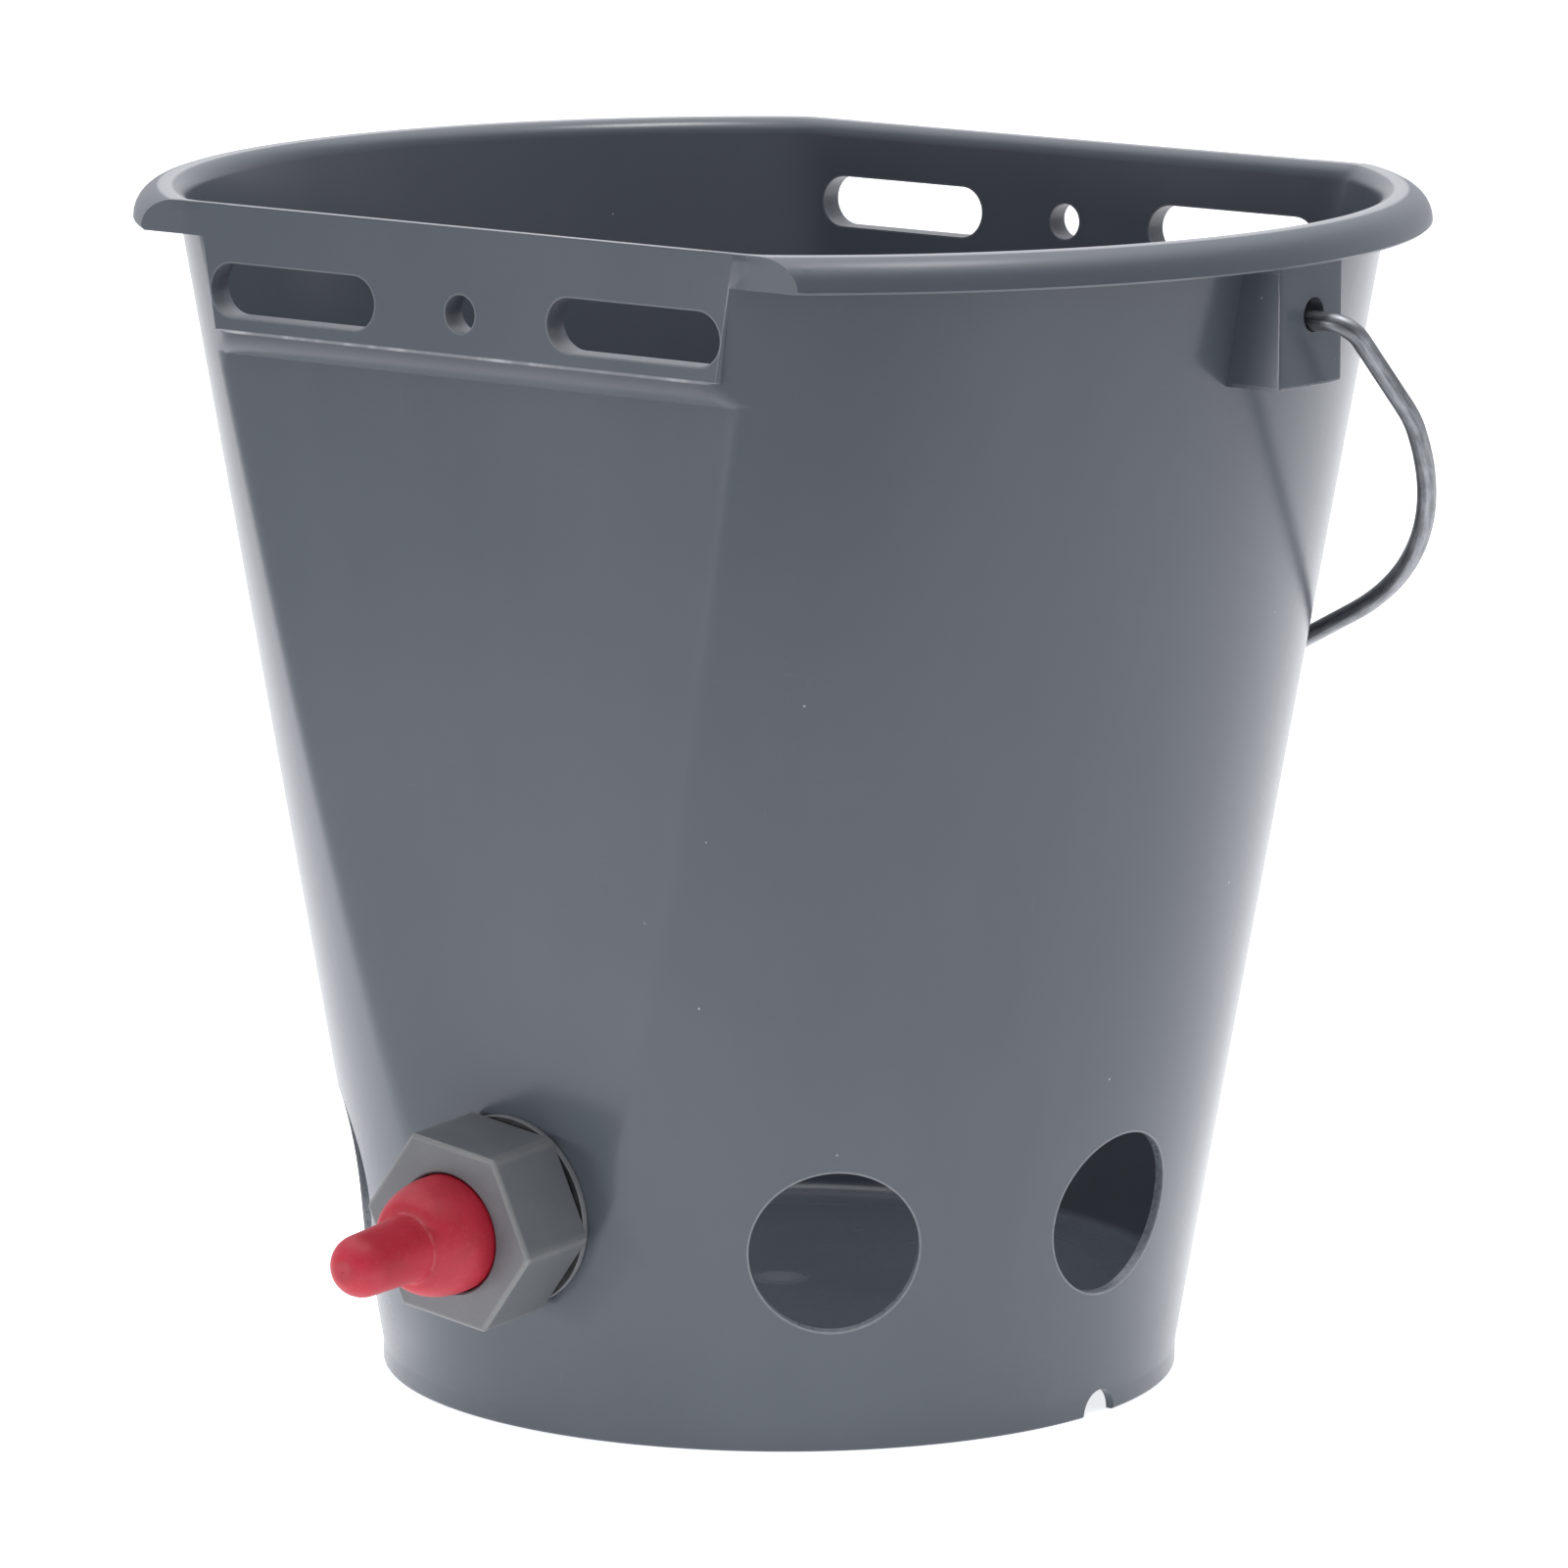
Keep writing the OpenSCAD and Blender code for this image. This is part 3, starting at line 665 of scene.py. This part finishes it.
def fitting_plastic(name, seed, edge_highlight=None):
    """Grey moulded plastic, a little greener than the bucket, with rubbed patches, and paler edges where a
    mask paints a highlight.
    """
    material, shader, point = start_material(name)
    grey = (0.126, 0.135, 0.145, 1)
    grey_light = (0.144, 0.153, 0.162, 1)
    scuffed = (0.26, 0.27, 0.27, 1)
    highlight_pale = (0.25, 0.255, 0.25, 1)
    moved = point.vector("ADD", point, (seed, 0.3 * seed, 0))
    cloud = moved.noise(60, 4, 0.6)
    rub = moved.noise(900, 3, 0.6).rise(0.55, 0.75) * moved.noise(120, 2).rise(0.5, 0.7)
    body = cloud.rise(0.3, 0.7).colour(grey, grey_light)
    body = (0.2 * rub).colour(body, scuffed)
    # Where a mask is given, its edges get a painted highlight.
    if edge_highlight:
        body = (edge_highlight(point) * (0.25 + 0.5 * cloud)).colour(body, highlight_pale)
    body.into(shader, "Base Color")
    (0.34 + 0.12 * cloud + 0.15 * rub).into(shader, "Roughness")
    (moved.noise(1300, 3) + 2 * cloud).emboss(shader, 0.3, 0.2 * mm)
    return material


bush_plastic = fitting_plastic("bush_plastic", 0.0)
bush = add_object("bush", turned([
    (inlet_r, bush_flange_back + bush_edge), (inlet_r + bush_edge, bush_flange_back),
    (bush_flange_r - bush_edge, bush_flange_back), (bush_flange_r, bush_flange_back + bush_edge),
    (bush_flange_r, bush_flange_face - bush_edge), (bush_flange_r - bush_edge, bush_flange_face),
    (collar_r, bush_flange_face), (collar_r, collar_end - bush_edge), (collar_r - bush_edge, collar_end),
    (root_r, collar_end), (root_r, spigot_end - bush_edge), (root_r - bush_edge, spigot_end),
    (bush_bore_r + bush_edge, spigot_end), (bush_bore_r, spigot_end - bush_edge),
    (bush_bore_r, bush_flange_face), (inlet_r, bush_flange_face)], segments=96, place=station))

# The thread is a rib wound round the spigot.
thread_rule, given = new_tree("thread_rule", {
    "Turns": "Float", "Root Radius": "Float", "Length": "Float", "Rib": "Float", "Material": "Material"})
coil = given["Geometry"].node("GeometryNodeCurveSpiral", {
    "Resolution": 64, "Rotations": given["Turns"], "Start Radius": given["Root Radius"],
    "End Radius": given["Root Radius"], "Height": given["Length"]})
rib = coil.node("GeometryNodeCurvePrimitiveCircle", {"Resolution": 6, "Radius": given["Rib"]})
wound = coil.node("GeometryNodeCurveToMesh", {"Curve": coil, "Profile Curve": rib, "Fill Caps": True})
end_tree(wound, given["Material"])
thread = grow(add_object("thread", bmesh.new()), thread_rule, turns=thread_length / thread_lead,
              root_radius=root_r, length=thread_length, rib=thread_depth, material=bush_plastic)
thread.data.transform(station @ Matrix.Translation((0, 0, thread_start)))


def face_outwards(obj, *others):
    """Takes the meshes of other objects into one, removes them, and turns all its faces outwards."""
    shape = bmesh.new()
    for part in (obj,) + others:
        shape.from_mesh(part.data)
    bmesh.ops.recalc_face_normals(shape, faces=shape.faces)
    shape.to_mesh(obj.data)
    shape.free()
    for part in others:
        bpy.data.objects.remove(part)


face_outwards(bush, thread)
paint(bush, bush_plastic)
smooth(bush)
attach(bush, "bucket")
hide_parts("valve_body")


# The gasket is a flat ring of black rubber, cut from sheet. It is squeezed between the bush's flange
# and the inside of the wall, where it seals the hole.

def black_rubber():
    """Dull black rubber with a grey bloom."""
    material, shader, point = start_material("gasket_rubber")
    black = (0.012, 0.012, 0.012, 1)
    bloomed = (0.035, 0.034, 0.033, 1)
    bloom = point.noise(180, 4, 0.6)
    bloom.rise(0.4, 0.75).colour(black, bloomed).into(shader, "Base Color")
    (0.62 + 0.2 * bloom).into(shader, "Roughness")
    point.noise(1600, 3).emboss(shader, 0.3, 0.15 * mm)
    return material


paint(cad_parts["flange_gasket"], black_rubber())


# The valve ball is a loose polished ball of hard white plastic, and the cage a three-armed ring
# pressed into the bush's bore, which lets milk past but keeps the ball in.

def ball_plastic():
    """Smooth white plastic, yellowed in places."""
    material, shader, point = start_material("ball_plastic")
    yellowed = (0.76, 0.74, 0.68, 1)
    white = (0.83, 0.82, 0.78, 1)
    cloud = point.noise(240, 3)
    cloud.rise(0.3, 0.7).colour(yellowed, white).into(shader, "Base Color")
    (0.22 + 0.12 * cloud).into(shader, "Roughness")
    return material


paint(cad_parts["valve_ball"], ball_plastic())
paint(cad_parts["ball_cage"], fitting_plastic("cage_plastic", 2.7))


# The seat washer is a flat plastic ring on the outside of the wall, which the nut beds on. Its face is
# painted nearly black as the deep shade round the nut's back, and its rounded edge carries a painted
# highlight.

washer_r = 19.75 * mm
washer_bore_r = 15.3 * mm
washer_t = 1.6 * mm
washer_edge = 0.35 * mm
outwards = station.col[2].xyz


def washer_plastic():
    """Plastic painted nearly black as shade, with a painted highlight on its rim."""
    material, shader, point = start_material("washer_plastic")
    shade_black = (0.014, 0.015, 0.016, 1)
    shade_black_light = (0.030, 0.032, 0.034, 1)
    edge_highlight = (0.22, 0.23, 0.24, 1)
    grain = point.noise(400, 3, 0.6)
    radius = axis_distance(point, station.translation, outwards)
    face = grain.rise(0.35, 0.7).colour(shade_black, shade_black_light)
    rim = radius.rise(washer_r - 0.22 * mm, washer_r - 0.06 * mm) * (0.6 + 0.4 * grain)
    rim.colour(face, edge_highlight).into(shader, "Base Color")
    (0.42 + 0.2 * grain).into(shader, "Roughness")
    grain.emboss(shader, 0.3, 0.15 * mm)
    return material


washer = add_object("washer", turned(
    [(washer_bore_r, 0), (washer_r - washer_edge, 0)]
    + arc((washer_r - washer_edge, washer_edge), washer_edge, -90, 0, 3)
    + arc((washer_r - washer_edge, washer_t - washer_edge), washer_edge, 0, 90, 3)
    + [(washer_bore_r + washer_edge, washer_t), (washer_bore_r, washer_t - washer_edge)],
    segments=128, place=station))
paint(washer, washer_plastic())
smooth(washer)
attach(washer, "bucket")
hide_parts("seat_washer")


# The teat is moulded in soft red rubber round a core: a flange that the nut clamps, a dome, and a
# nipple with a small milk hole. A thin flash ring stands where the mould halves met.

teat_flange_back = 13.8 * mm
teat_flange_face = 16.8 * mm
teat_flange_r = 15 * mm
teat_edge = 0.4 * mm
nut_face = 20.9 * mm
teat_r = 12.2 * mm
teat_wall = 2.6 * mm
dome_l = 12.6 * mm
dome_end = nut_face + dome_l
dome_straight = 0.12
flash_w = 0.22 * mm
flash_h = 0.35 * mm
nipple_root_r = 6.9 * mm
nipple_tip_r = 6.45 * mm
nipple_waist = 0.04 * mm
nipple_start = dome_end + 0.5 * mm
teat_tip = nut_face + 32.8 * mm
tip_centre = teat_tip - nipple_tip_r
teat_bore_r = nipple_tip_r - teat_wall
milk_hole_r = 0.16 * mm
dimple_r = 2.5 * mm
dimple = 0.4 * mm


def red_rubber():
    """Matt red rubber with a dusty bloom, paler on the mould line, with painted shade in the tip's dimple.
    """
    material, shader, point = start_material("red_rubber")
    red = (0.41, 0.008, 0.025, 1)
    red_light = (0.49, 0.014, 0.036, 1)
    red_shaded = (0.33, 0.006, 0.016, 1)
    dusty = (0.62, 0.20, 0.24, 1)
    flash_pink = (0.72, 0.27, 0.30, 1)
    bloom = point.noise(140, 4, 0.65)
    dust = point.noise(800, 3, 0.6).rise(0.52, 0.72)
    body = bloom.rise(0.3, 0.72).colour(red, red_light)
    body = (0.07 * dust).colour(body, dusty)
    along = point.vector("SUBTRACT", point, station.translation).dot(outwards)
    ring = along.near(dome_end, 0.3 * mm) * point.noise(260, 2).rise(0.35, 0.65)
    # The tip's dimple is darkened with painted shade.
    dimple_shade = along.rise(teat_tip - 0.9 * mm, teat_tip - 0.1 * mm)
    body = (0.3 * ring).colour(body, flash_pink)
    (0.7 * dimple_shade).colour(body, red_shaded).into(shader, "Base Color")
    (0.42 + 0.16 * bloom).into(shader, "Roughness")
    (1.2 * bloom + 0.6 * point.noise(1500, 3)).emboss(shader, 0.35, 0.3 * mm)
    shader.inputs["Subsurface Weight"].default_value = 0.12
    shader.inputs["Subsurface Radius"].default_value = (0.004, 0.0012, 0.001)
    return material


def dome_radius(share):
    """The dome's radius at a share of its length: straight at first, then an ellipse."""
    bend = max(0, share - dome_straight) / (1 - dome_straight)
    return nipple_root_r + (teat_r - nipple_root_r) * math.sqrt(1 - bend * bend)


def nipple_point(share):
    """Radius and height at a share of the nipple's length, with a slight waist."""
    waist = nipple_waist * math.sin(math.pi * share)
    return (nipple_root_r + (nipple_tip_r - nipple_root_r) * share - waist,
            nipple_start + (tip_centre - nipple_start) * share)


def tip_point(radius):
    """Radius and height on the round tip, with a dimple at its middle."""
    sunk = dimple * (0.5 + 0.5 * math.cos(math.pi * radius / dimple_r))
    return radius, tip_centre + math.sqrt(nipple_tip_r**2 - radius * radius) - sunk


outside = [(teat_r - teat_wall, teat_flange_back), (teat_flange_r - teat_edge, teat_flange_back),
           (teat_flange_r, teat_flange_back + teat_edge), (teat_flange_r, teat_flange_face - teat_edge),
           (teat_flange_r - teat_edge, teat_flange_face), (teat_r, teat_flange_face)]
outside += [(dome_radius(i / 24), nut_face + dome_l * i / 24) for i in range(24)]
outside += [(nipple_root_r + flash_h, dome_end - 0.5 * flash_w),
            (nipple_root_r + flash_h, dome_end + 0.5 * flash_w)]
outside += [nipple_point(i / 8) for i in range(8)]
outside += arc((0, tip_centre), nipple_tip_r, 0, 66, 12)
outside += [tip_point(r) for r in (2.2 * mm, 1.8 * mm, 1.4 * mm, 1 * mm, 0.6 * mm, milk_hole_r)]
lining = arc((0, tip_centre), teat_bore_r, math.degrees(math.acos(milk_hole_r / teat_bore_r)), 0, 8)
lining += [(nipple_root_r - teat_wall, dome_end - teat_wall)]
lining += [(dome_radius(i / 12) - teat_wall, nut_face + dome_l * i / 12 - teat_wall)
           for i in range(9, -1, -1)]
teat = add_object("teat_rubber", turned(outside + lining, segments=128, place=station))
paint(teat, red_rubber())
smooth(teat, 50)
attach(teat, "teat")
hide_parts("teat")


# The union nut is a hexagon moulded in plastic, with soft edges. It screws onto the bush's spigot
# and its front wall clamps the teat's flange.

nut_half = 37.2 * mm / 2
nut_back = 1.9 * mm
nut_step = 16.9 * mm
nut_corner_r = 1.2 * mm
nut_front_round = 0.9 * mm
nut_back_round = 0.35 * mm
nut_bore_r = 15.3 * mm
nut_open_r = 12.5 * mm
nut_mouth = 0.4 * mm
nut_turn = math.radians(-7.5)
corner_reach = (nut_half - nut_corner_r) / math.cos(math.radians(30))
nut_place = station @ Matrix.Rotation(nut_turn, 4, "Z")


def nut_edge_highlight(point):
    """1 on the nut's front edges and corners, where a highlight is painted."""
    local = point.vector("SUBTRACT", point, nut_place.translation)
    along = local.dot(outwards)
    flat = None
    for turn in (math.radians(30), math.radians(90), math.radians(150)):
        normal = nut_place.to_3x3() @ Vector((math.cos(turn), math.sin(turn), 0))
        reach = abs(local.dot(normal))
        flat = reach if flat is None else flat.most(reach)
    front = along.rise(nut_face - 1.1 * mm, nut_face - 0.5 * mm)
    front = front * flat.rise(nut_half - 1.2 * mm, nut_half - 0.6 * mm)
    nut_r = corner_reach + nut_corner_r
    corner = axis_distance(point, nut_place.translation, outwards)
    corner = corner.rise(nut_r - 0.7 * mm, nut_r - 0.2 * mm)
    return front.most(0.6 * corner)


outline = []
for turn, centre in zip(range(0, 360, 60), arc((0, 0), corner_reach, 0, 300, 5)):
    outline += arc(centre, nut_corner_r, turn - 30, turn + 30, 5)
shape = bmesh.new()
add_prism(shape, outline, nut_back, nut_face)
front_edges = [e for e in shape.edges if min(v.co.z for v in e.verts) > nut_face - 1e-6]
soften(shape, front_edges, nut_front_round, 4)
back_edges = [e for e in shape.edges if max(v.co.z for v in e.verts) < nut_back + 1e-6]
soften(shape, back_edges, nut_back_round)
nut = add_object("nut", shape)
bore = add_object("nut_bore", turned(
    [(0, 0), (nut_bore_r, 0), (nut_bore_r, nut_step), (nut_open_r, nut_step),
     (nut_open_r, nut_face - nut_mouth), (nut_open_r + nut_mouth, nut_face),
     (nut_open_r + nut_mouth, nut_face + nut_mouth), (0, nut_face + nut_mouth)], segments=128))
combine(nut, "DIFFERENCE", bore)
nut.data.transform(nut_place)
paint(nut, fitting_plastic("nut_plastic", 4.1, nut_edge_highlight))
smooth(nut)
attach(nut, "nut")
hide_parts("union_nut")


# The bail is one length of galvanised steel wire, bent cold, with its hooked ends sprung into the
# two ears. At rest it lies against the back flat.

wire_r = 2 * mm
leg_x = lip_r + 8 * mm
leg_l = 27 * mm
elbow_r = 5 * mm
knee_r = 32 * mm
knee_deg = 14
shoulder_r = 121 * mm
shoulder_deg = 56
run_l = 50 * mm
hook_l = 5 * mm
hook_r = 3 * mm
swing_z = ear_hole_z - (ear_hole_r - wire_r) + 0.25 * mm
bail_rest = math.radians(46.6475)


def galvanised_wire():
    """Zinc on steel: cloudy spangle, drawn streaks along the wire and small dark pits."""
    material, shader, point = start_material("galvanised_wire")
    zinc_dark = (0.085, 0.091, 0.099, 1)
    zinc_light = (0.305, 0.318, 0.337, 1)
    pitted = (0.12, 0.125, 0.13, 1)
    section = point.node("ShaderNodeAttribute", output="Vector", attribute_name="section")
    along = point.node("ShaderNodeAttribute", output="Fac", attribute_name="along")
    straight = point.vector("ADD", section, point.node("ShaderNodeCombineXYZ", {2: along}))
    spangle = straight.stretched(500, 500, 120).noise(1.0, 4, 0.6)
    streak = straight.stretched(1500, 1500, 40).noise(1.0, 3, 0.6)
    pits = straight.stretched(1100, 1100, 500).noise(1.0, 3, 0.7).rise(0.66, 0.74)
    body = (0.5 * spangle + 0.5 * streak).rise(0.32, 0.68).colour(zinc_dark, zinc_light)
    (0.5 * pits).colour(body, pitted).into(shader, "Base Color")
    shader.inputs["Metallic"].default_value = 0.85
    (0.34 + 0.14 * spangle + 0.2 * pits).into(shader, "Roughness")
    (0.6 * spangle + 0.5 * streak - 0.6 * pits).emboss(shader, 0.4, 0.2 * mm)
    return material


# Half of the wire is laid out flat, from its hook to the crown, then mirrored and swung to rest.
hook_x = pocket_r - (pocket_r - wall_base_r - wall_slope * swing_z) / 2
knee_turn = math.radians(knee_deg)
knee_x = leg_x - knee_r * (1 - math.cos(knee_turn))
knee_drop = leg_l + knee_r * math.sin(knee_turn)
shoulder = (knee_x - shoulder_r * math.cos(knee_turn), knee_drop - shoulder_r * math.sin(knee_turn))
heading = math.radians(shoulder_deg)
run_start = (shoulder[0] + shoulder_r * math.cos(heading), shoulder[1] + shoulder_r * math.sin(heading))
run_end = (run_start[0] - run_l * math.sin(heading), run_start[1] + run_l * math.cos(heading))
crown_r = run_end[0] / math.cos(heading)
crown = (0, run_end[1] - crown_r * math.sin(heading))
half = [(hook_x, -hook_l)] + arc((hook_x + hook_r, -hook_r), hook_r, 180, 90, 8)
half += arc((leg_x - elbow_r, elbow_r), elbow_r, -90, 0, 10)
half += arc((leg_x - knee_r, leg_l), knee_r, 0, knee_deg, 6)
half += arc(shoulder, shoulder_r, knee_deg, shoulder_deg, 28)[1:]
half += arc(crown, crown_r, shoulder_deg, 90, 24)
path = half + [(-x, drop) for x, drop in half[-2::-1]]
shape = bmesh.new()
bends = [shape.verts.new((x, drop * math.sin(bail_rest), swing_z - drop * math.cos(bail_rest)))
         for x, drop in path]
for a, b in zip(bends, bends[1:]):
    shape.edges.new((a, b))

wire_rule, given = new_tree("wire_rule", {"Radius": "Float", "Sides": "Int", "Material": "Material"})
run = given["Geometry"].node("GeometryNodeMeshToCurve", {"Mesh": given["Geometry"]})
length = run.node("GeometryNodeSplineParameter", output="Length")
run = run.node("GeometryNodeStoreNamedAttribute", {"Geometry": run, "Name": "along", "Value": length})
section = run.node("GeometryNodeCurvePrimitiveCircle", {
    "Resolution": given["Sides"], "Radius": given["Radius"]})
section = section.node("GeometryNodeStoreNamedAttribute", {
    "Geometry": section, "Name": "section", "Value": section.node("GeometryNodeInputPosition")},
    data_type="FLOAT_VECTOR")
drawn = run.node("GeometryNodeCurveToMesh", {"Curve": run, "Profile Curve": section, "Fill Caps": True})
end_tree(drawn, given["Material"])
bail = grow(add_object("bail_wire", shape), wire_rule, radius=wire_r, sides=24, material=galvanised_wire())
face_outwards(bail)
smooth(bail, 50)
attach(bail, "bail")
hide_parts("bail")


# The studio is a pale light table that dims towards the camera and to the left. Its surround is
# bright overhead and grey elsewhere, with a small low lamp in front and another above.

table_half = 4
table_t = 0.02
to_back = (-0.614, 0.789, 0)
to_right = (0.789, 0.614, 0)
floor = add_box("floor", ((-table_half, -table_half, -table_t), (table_half, table_half, 0)))
floor_paint, shader, point = start_material("floor_paint")
depth = point.dot(to_back)
across = point.dot(to_right)
leftward = across + 0.1 * depth
reach = depth + 0.35 * across.most(0)
on_paper = reach.rise(-0.6, -0.22) * (1 - across.rise(0.7, 1.1)) * leftward.rise(-1.0, -0.42)
paper = point.noise(3, 2).rise(0.3, 0.7).colour((0.86, 0.86, 0.86, 1), (0.88, 0.88, 0.88, 1))
on_paper.colour((0.42, 0.42, 0.43, 1), paper).into(shader, "Base Color")
glow = on_paper.colour((0.05, 0.05, 0.05, 1), (0.45, 0.455, 0.47, 1))
beside = (across + 0.09 * depth).rise(-0.50, -0.24)
glow = beside.colour((0.09, 0.092, 0.10, 1), glow)
behind = (depth - 0.94 * abs(across)).rise(-0.16, -0.06) * leftward.rise(-0.42, -0.26)
glow = behind.colour(glow, (0.40, 0.41, 0.44, 1))
# Round the bucket's foot the table glows brighter: a painted pool of light that takes out the contact
# shadow.
away = axis_distance(point, (0, 0, 0), (0, 0, 1)).rise(0.12, 0.30)
away.colour((0.75, 0.76, 0.78, 1), glow).into(shader, "Emission Color")
shader.inputs["Emission Strength"].default_value = 1.0
shader.inputs["Roughness"].default_value = 0.7
shader.inputs["Specular IOR Level"].default_value = 0.2
paint(floor, floor_paint)

to_camera = (0.60, -0.77, 0.20)
to_sky = (-0.10, 0.13, 0.986)
world = bpy.data.worlds.new("surround")
bpy.context.scene.world = world
world.use_nodes = True
look = Socket(world.node_tree).node("ShaderNodeTexCoord", output="Generated")
facing = look.dot(to_camera)
shade = facing.rise(-0.75, -0.05).colour((0.80, 0.81, 0.84, 1), (0.50, 0.51, 0.53, 1))
shade = facing.rise(0.0, 0.8).colour(shade, (0.32, 0.33, 0.35, 1))
sky = look.dot(to_sky).rise(0.60, 0.92).colour(shade, (2.12, 2.12, 2.15, 1))
sky.into(world.node_tree.nodes["Background"], "Color")


def add_lamp(name, place, aim, width, height, power):
    """A rectangular lamp at one point, aimed at another."""
    lamp = bpy.data.lights.new(name, "AREA")
    lamp.shape = "RECTANGLE"
    lamp.size = width
    lamp.size_y = height
    lamp.energy = power
    obj = bpy.data.objects.new(name, lamp)
    obj.location = place
    obj.rotation_euler = (Vector(aim) - Vector(place)).to_track_quat("-Z", "Y").to_euler()
    bpy.context.collection.objects.link(obj)


add_lamp("low_lamp", place=(-0.55, -1.5, 0.10), aim=(0, 0, 0.10), width=0.30, height=0.15, power=4.4)
add_lamp("top_lamp", place=(0.22, 0.18, 1.5), aim=(0, 0, 0.12), width=0.40, height=0.30, power=4.5)

camera_turn = math.radians(37.88)
camera_tilt = math.radians(79.67)
camera_roll = 0.0034
aimed = Matrix.Rotation(camera_turn, 3, "Z") @ Matrix.Rotation(camera_tilt, 3, "X")
aimed = aimed @ Matrix.Rotation(camera_roll, 3, "Z")
camera = bpy.data.objects.new("camera", bpy.data.cameras.new("camera"))
camera.location = (1.1289, -1.4502, 0.4578)
camera.rotation_euler = aimed.to_euler()
camera.data.lens = 204.2
camera.data.sensor_width = 36
bpy.context.collection.objects.link(camera)
bpy.context.scene.camera = camera
bpy.context.scene.view_settings.view_transform = "Standard"
